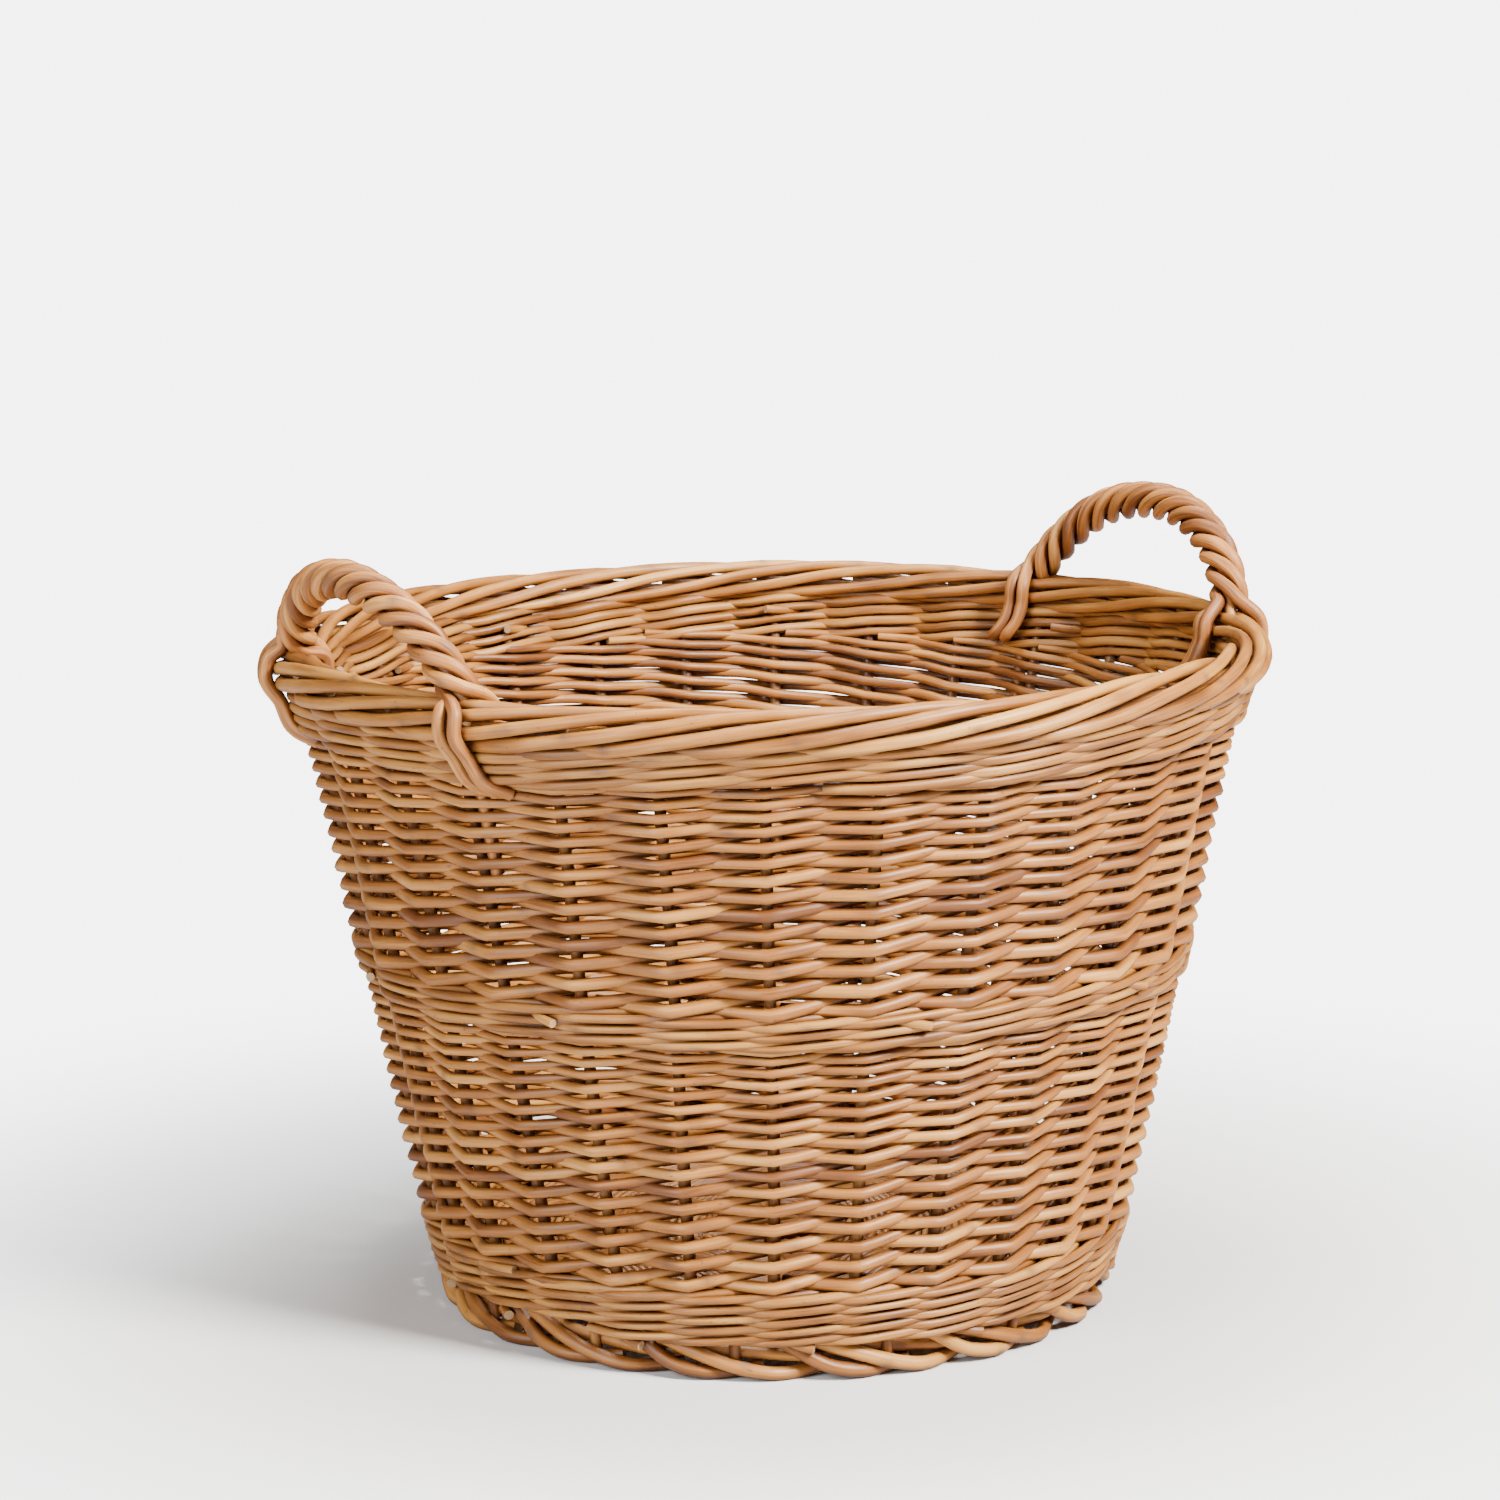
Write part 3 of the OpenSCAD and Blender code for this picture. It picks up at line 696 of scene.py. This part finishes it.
def handle(label, half_turn):
    """A bow with four strands roped round it; their tails lap over the border, two out and two in."""
    a = np.linspace(-ARCH_HALF, ARCH_HALF, 48)
    legs = []
    for side in (-1, 1):
        z = np.linspace(262, 340, 12)
        legs.append(polar(wall_r(z) + 0.5, side * FOOT_ANGLE, z))
    path = np.concatenate([legs[0], arch(a), legs[1][::-1]])
    bow = Rods()
    bow.add(turned(path, half_turn), CORE_D / 2, sides=10)
    bow.build(f"{label}_handle_bow", [f"{label}_handle_bow"], rope_look, "willow_handle")

    turns = round(ARCH_R * 2 * ARCH_HALF / ROPE_LEAD * 2) / 2
    for n in range(4):
        a = np.linspace(-ARCH_HALF * 0.97, ARCH_HALF * 0.97, 110)
        phase = TAU * (n / 4 + 0.125 + turns * (a + ARCH_HALF) / (2 * ARCH_HALF))
        out = np.cos(phase)[:, None] * OUTWARD
        up = np.sin(phase)[:, None] * (np.sin(a)[:, None] * SIDEWAYS + np.cos(a)[:, None] * UPWARD)
        rope = arch(a) + HELIX_R * (out + up)
        tails = []
        for end, tip_phase in ((-1, phase[0]), (1, phase[-1])):
            outside = math.cos(tip_phase) > 0
            up_side = math.sin(tip_phase) > 0
            side = 1 if outside else -1
            along = end * (4.2 if up_side else -4.2) / 245
            base_angle = end * FOOT_ANGLE
            sweep = np.array([0.2, 0.6, 2.2, 7.5, 15.0]) / 240
            over = BORDER_RING + BORDER_D / 2 + STRAND_D / 2 - 0.8
            face = STAKE_D / 2 + 4.6 + STRAND_D / 2
            r = np.array([
                BORDER_R + side * over * 0.92,
                BORDER_R + side * over * 0.98,
                wall_r(328) + side * (face + 2.2),
                wall_r(314) + side * (face + 0.2),
                wall_r(307) + side * 2.0,
            ])
            z = np.array([BORDER_Z + 7, BORDER_Z - 4, 326, 313, 306.5])
            if not outside:
                z = np.array([BORDER_Z + 7, BORDER_Z - 4, 328, 321, 318])
            tails.append(polar(r, base_angle + along + sweep, z))
        keep = slice(3, -3)
        knots = np.concatenate([tails[0][::-1], rope[keep], tails[1]])
        strand = Rods()
        path = spline(turned(knots, half_turn), STRAND_STEPS)
        d = STRAND_D * random.uniform(0.95, 1.03) * np.linspace(1.0, 0.9, STRAND_STEPS)
        strand.add(path, d / 2, sides=10, shade=-0.2)
        name = f"{label}_handle_strand_{n + 1}"
        strand.build(name, [name], rope_look, "willow_handle")


handle("right", False)
handle("left", True)


# ---------- stage ----------

FADE_START, FADE_END = 0.26, 0.80
BACKDROP_GLOW = 6.0
FLOOR_HALF = 30.0

floor_mat = bpy.data.materials.new("floor")
floor_mat.use_nodes = True
tree = floor_mat.node_tree
floor_shader = tree.nodes["Principled BSDF"]
floor_shader.inputs["Roughness"].default_value = 0.9
# Away from the basket the camera sees the floor fade into a white backdrop.
where = tree.nodes.new("ShaderNodeNewGeometry")
distance = tree.nodes.new("ShaderNodeVectorMath")
distance.operation = "LENGTH"
tree.links.new(where.outputs["Position"], distance.inputs[0])
fade = tree.nodes.new("ShaderNodeMapRange")
fade.interpolation_type = "SMOOTHSTEP"
fade.inputs["From Min"].default_value = FADE_START
fade.inputs["From Max"].default_value = FADE_END
tree.links.new(distance.outputs["Value"], fade.inputs["Value"])
ray = tree.nodes.new("ShaderNodeLightPath")
seen = tree.nodes.new("ShaderNodeMath")
seen.operation = "MULTIPLY"
tree.links.new(fade.outputs["Result"], seen.inputs[0])
tree.links.new(ray.outputs["Is Camera Ray"], seen.inputs[1])
# The floor throws back less light than the camera sees on it, so that the foot stays in shade.
floor_colour = tree.nodes.new("ShaderNodeMix")
floor_colour.data_type = "RGBA"
floor_colour.inputs[6].default_value = (0.48, 0.47, 0.46, 1)
floor_colour.inputs[7].default_value = (0.92, 0.92, 0.92, 1)
tree.links.new(ray.outputs["Is Camera Ray"], floor_colour.inputs[0])
tree.links.new(floor_colour.outputs[2], floor_shader.inputs["Base Color"])
white = tree.nodes.new("ShaderNodeEmission")
white.inputs["Strength"].default_value = BACKDROP_GLOW
blend = tree.nodes.new("ShaderNodeMixShader")
tree.links.new(seen.outputs[0], blend.inputs[0])
tree.links.new(floor_shader.outputs[0], blend.inputs[1])
tree.links.new(white.outputs[0], blend.inputs[2])
tree.links.new(blend.outputs[0], tree.nodes["Material Output"].inputs["Surface"])
floor_mesh = bpy.data.meshes.new("floor")
corners = [(x * FLOOR_HALF, y * FLOOR_HALF, 0) for x, y in ((-1, -1), (1, -1), (1, 1), (-1, 1))]
floor_mesh.from_pydata(corners, [], [(0, 1, 2, 3)])
floor_mesh.materials.append(floor_mat)
floor = bpy.data.objects.new("floor", floor_mesh)
bpy.context.collection.objects.link(floor)

world = bpy.data.worlds.new("studio")
bpy.context.scene.world = world
world.use_nodes = True
tree = world.node_tree
background = tree.nodes["Background"]
background.inputs["Color"].default_value = (1.0, 1.0, 1.0, 1)
# The camera sees a bright backdrop, the basket gets less light from all round.
path_node = tree.nodes.new("ShaderNodeLightPath")
strength = tree.nodes.new("ShaderNodeMapRange")
strength.inputs["To Min"].default_value = 0.10
strength.inputs["To Max"].default_value = 5.0
tree.links.new(path_node.outputs["Is Camera Ray"], strength.inputs["Value"])
tree.links.new(strength.outputs["Result"], background.inputs["Strength"])


def softbox(name, place, target, size, power, colour=(1.0, 1.0, 1.0)):
    light = bpy.data.lights.new(name, "AREA")
    light.shape = "SQUARE"
    light.size = size
    light.energy = power
    light.color = colour
    lamp = bpy.data.objects.new(name, light)
    lamp.location = place
    lamp.rotation_mode = "QUATERNION"
    lamp.rotation_quaternion = (Vector(target) - Vector(place)).to_track_quat("-Z", "Y")
    bpy.context.collection.objects.link(lamp)


AZIMUTH = math.radians(-31.5)
CAMERA_AWAY, CAMERA_ASIDE, CAMERA_HEIGHT = 2.490, 0.012, 0.732
KEY_COLOUR = (1.0, 0.96, 0.90)
back = Vector((math.sin(AZIMUTH), -math.cos(AZIMUTH), 0))
right = Vector((math.cos(AZIMUTH), math.sin(AZIMUTH), 0))
centre = (0, 0, 0.2)
softbox("key", back * 1.5 + right * 1.7 + Vector((0, 0, 2.0)), centre, 0.8, 300, KEY_COLOUR)
softbox("fill", back * 1.8 - right * 1.6 + Vector((0, 0, 1.1)), centre, 1.4, 64)
softbox("overhead", Vector((0, 0, 2.6)) - back * 0.3, centre, 1.2, 80)

camera_data = bpy.data.cameras.new("camera")
camera_data.sensor_width = 36
camera_data.lens = 116.04
camera = bpy.data.objects.new("camera", camera_data)
bpy.context.collection.objects.link(camera)
pitch = math.radians(10.09)
roll = math.radians(0.37)
forward = -back * math.cos(pitch) - Vector((0, 0, 1)) * math.sin(pitch)
level_up = right.cross(forward)
up = level_up * math.cos(roll) + right * math.sin(roll)
across = forward.cross(up)
place = back * CAMERA_AWAY - right * CAMERA_ASIDE + Vector((0, 0, CAMERA_HEIGHT))
facing = Matrix((across, up, -forward)).transposed().to_4x4()
camera.matrix_world = Matrix.Translation(place) @ facing
bpy.context.scene.camera = camera
